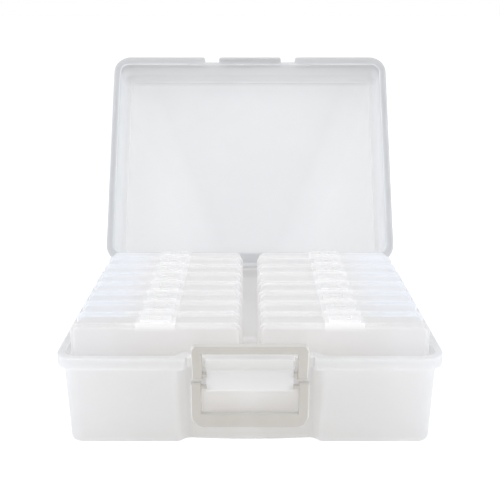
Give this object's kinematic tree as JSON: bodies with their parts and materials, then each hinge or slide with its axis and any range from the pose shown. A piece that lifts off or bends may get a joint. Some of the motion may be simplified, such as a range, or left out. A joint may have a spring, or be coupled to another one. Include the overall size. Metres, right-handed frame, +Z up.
{
  "type": "photo keeper case",
  "caption": "Wide shallow carry case with a hinged lid, a swinging latch bail and carry handle, holding two columns of upright lidded inner cases.",
  "frame": {"origin": "centre of the tray's underside, the face that it stands on", "axes": "+Z up, +X to the right seen from the latch side, +Y from the latch towards the lid hinge"},
  "size_m": [0.3752, 0.4842, 0.351],
  "materials": {
    "frosted_case": "frosted translucent polypropylene",
    "clear_inner": "clear polypropylene",
    "cream_latch": "satin moulded plastic"
  },
  "bodies": {
    "tray": {"case_base": "frosted_case"},
    "lid": {"case_lid": "frosted_case"},
    "bail": {"latch_bail": "cream_latch"},
    "handle": {"carry_handle": "cream_latch"},
    "inner_case_left_1": {"inner_box_left_1": "clear_inner", "inner_lid_left_1": "clear_inner"},
    "inner_case_left_2": {"inner_box_left_2": "clear_inner", "inner_lid_left_2": "clear_inner"},
    "inner_case_left_3": {"inner_box_left_3": "clear_inner", "inner_lid_left_3": "clear_inner"},
    "inner_case_left_4": {"inner_box_left_4": "clear_inner", "inner_lid_left_4": "clear_inner"},
    "inner_case_left_5": {"inner_box_left_5": "clear_inner", "inner_lid_left_5": "clear_inner"},
    "inner_case_left_6": {"inner_box_left_6": "clear_inner", "inner_lid_left_6": "clear_inner"},
    "inner_case_left_7": {"inner_box_left_7": "clear_inner", "inner_lid_left_7": "clear_inner"},
    "inner_case_left_8": {"inner_box_left_8": "clear_inner", "inner_lid_left_8": "clear_inner"},
    "inner_case_right_1": {"inner_box_right_1": "clear_inner", "inner_lid_right_1": "clear_inner"},
    "inner_case_right_2": {"inner_box_right_2": "clear_inner", "inner_lid_right_2": "clear_inner"},
    "inner_case_right_3": {"inner_box_right_3": "clear_inner", "inner_lid_right_3": "clear_inner"},
    "inner_case_right_4": {"inner_box_right_4": "clear_inner", "inner_lid_right_4": "clear_inner"},
    "inner_case_right_5": {"inner_box_right_5": "clear_inner", "inner_lid_right_5": "clear_inner"},
    "inner_case_right_6": {"inner_box_right_6": "clear_inner", "inner_lid_right_6": "clear_inner"},
    "inner_case_right_7": {"inner_box_right_7": "clear_inner", "inner_lid_right_7": "clear_inner"},
    "inner_case_right_8": {"inner_box_right_8": "clear_inner", "inner_lid_right_8": "clear_inner"}
  },
  "joints": [
    {"name": "lid_hinge", "type": "hinge", "parent": "tray", "child": "lid", "pos_m": [0, 0.15162, 0.095], "axis": [-1, 0, 0], "range_deg": [-120.5, 0]},
    {"name": "bail_pivot", "type": "hinge", "parent": "tray", "child": "bail", "pos_m": [0, -0.14162, 0.078], "axis": [1, 0, 0], "range_deg": [-20, 55]},
    {"name": "handle_pivot", "type": "hinge", "parent": "tray", "child": "handle", "pos_m": [0, -0.14162, 0.0652], "axis": [-1, 0, 0], "range_deg": [0, 90]},
    {"name": "lift_out_left_1", "type": "slide", "parent": "tray", "child": "inner_case_left_1", "axis": [0, 0, 1], "range_m": [0, 0.13]},
    {"name": "lift_out_left_2", "type": "slide", "parent": "tray", "child": "inner_case_left_2", "axis": [0, 0, 1], "range_m": [0, 0.13]},
    {"name": "lift_out_left_3", "type": "slide", "parent": "tray", "child": "inner_case_left_3", "axis": [0, 0, 1], "range_m": [0, 0.13]},
    {"name": "lift_out_left_4", "type": "slide", "parent": "tray", "child": "inner_case_left_4", "axis": [0, 0, 1], "range_m": [0, 0.13]},
    {"name": "lift_out_left_5", "type": "slide", "parent": "tray", "child": "inner_case_left_5", "axis": [0, 0, 1], "range_m": [0, 0.13]},
    {"name": "lift_out_left_6", "type": "slide", "parent": "tray", "child": "inner_case_left_6", "axis": [0, 0, 1], "range_m": [0, 0.13]},
    {"name": "lift_out_left_7", "type": "slide", "parent": "tray", "child": "inner_case_left_7", "axis": [0, 0, 1], "range_m": [0, 0.13]},
    {"name": "lift_out_left_8", "type": "slide", "parent": "tray", "child": "inner_case_left_8", "axis": [0, 0, 1], "range_m": [0, 0.13]},
    {"name": "lift_out_right_1", "type": "slide", "parent": "tray", "child": "inner_case_right_1", "axis": [0, 0, 1], "range_m": [0, 0.13]},
    {"name": "lift_out_right_2", "type": "slide", "parent": "tray", "child": "inner_case_right_2", "axis": [0, 0, 1], "range_m": [0, 0.13]},
    {"name": "lift_out_right_3", "type": "slide", "parent": "tray", "child": "inner_case_right_3", "axis": [0, 0, 1], "range_m": [0, 0.13]},
    {"name": "lift_out_right_4", "type": "slide", "parent": "tray", "child": "inner_case_right_4", "axis": [0, 0, 1], "range_m": [0, 0.13]},
    {"name": "lift_out_right_5", "type": "slide", "parent": "tray", "child": "inner_case_right_5", "axis": [0, 0, 1], "range_m": [0, 0.13]},
    {"name": "lift_out_right_6", "type": "slide", "parent": "tray", "child": "inner_case_right_6", "axis": [0, 0, 1], "range_m": [0, 0.13]},
    {"name": "lift_out_right_7", "type": "slide", "parent": "tray", "child": "inner_case_right_7", "axis": [0, 0, 1], "range_m": [0, 0.13]},
    {"name": "lift_out_right_8", "type": "slide", "parent": "tray", "child": "inner_case_right_8", "axis": [0, 0, 1], "range_m": [0, 0.13]}
  ]
}
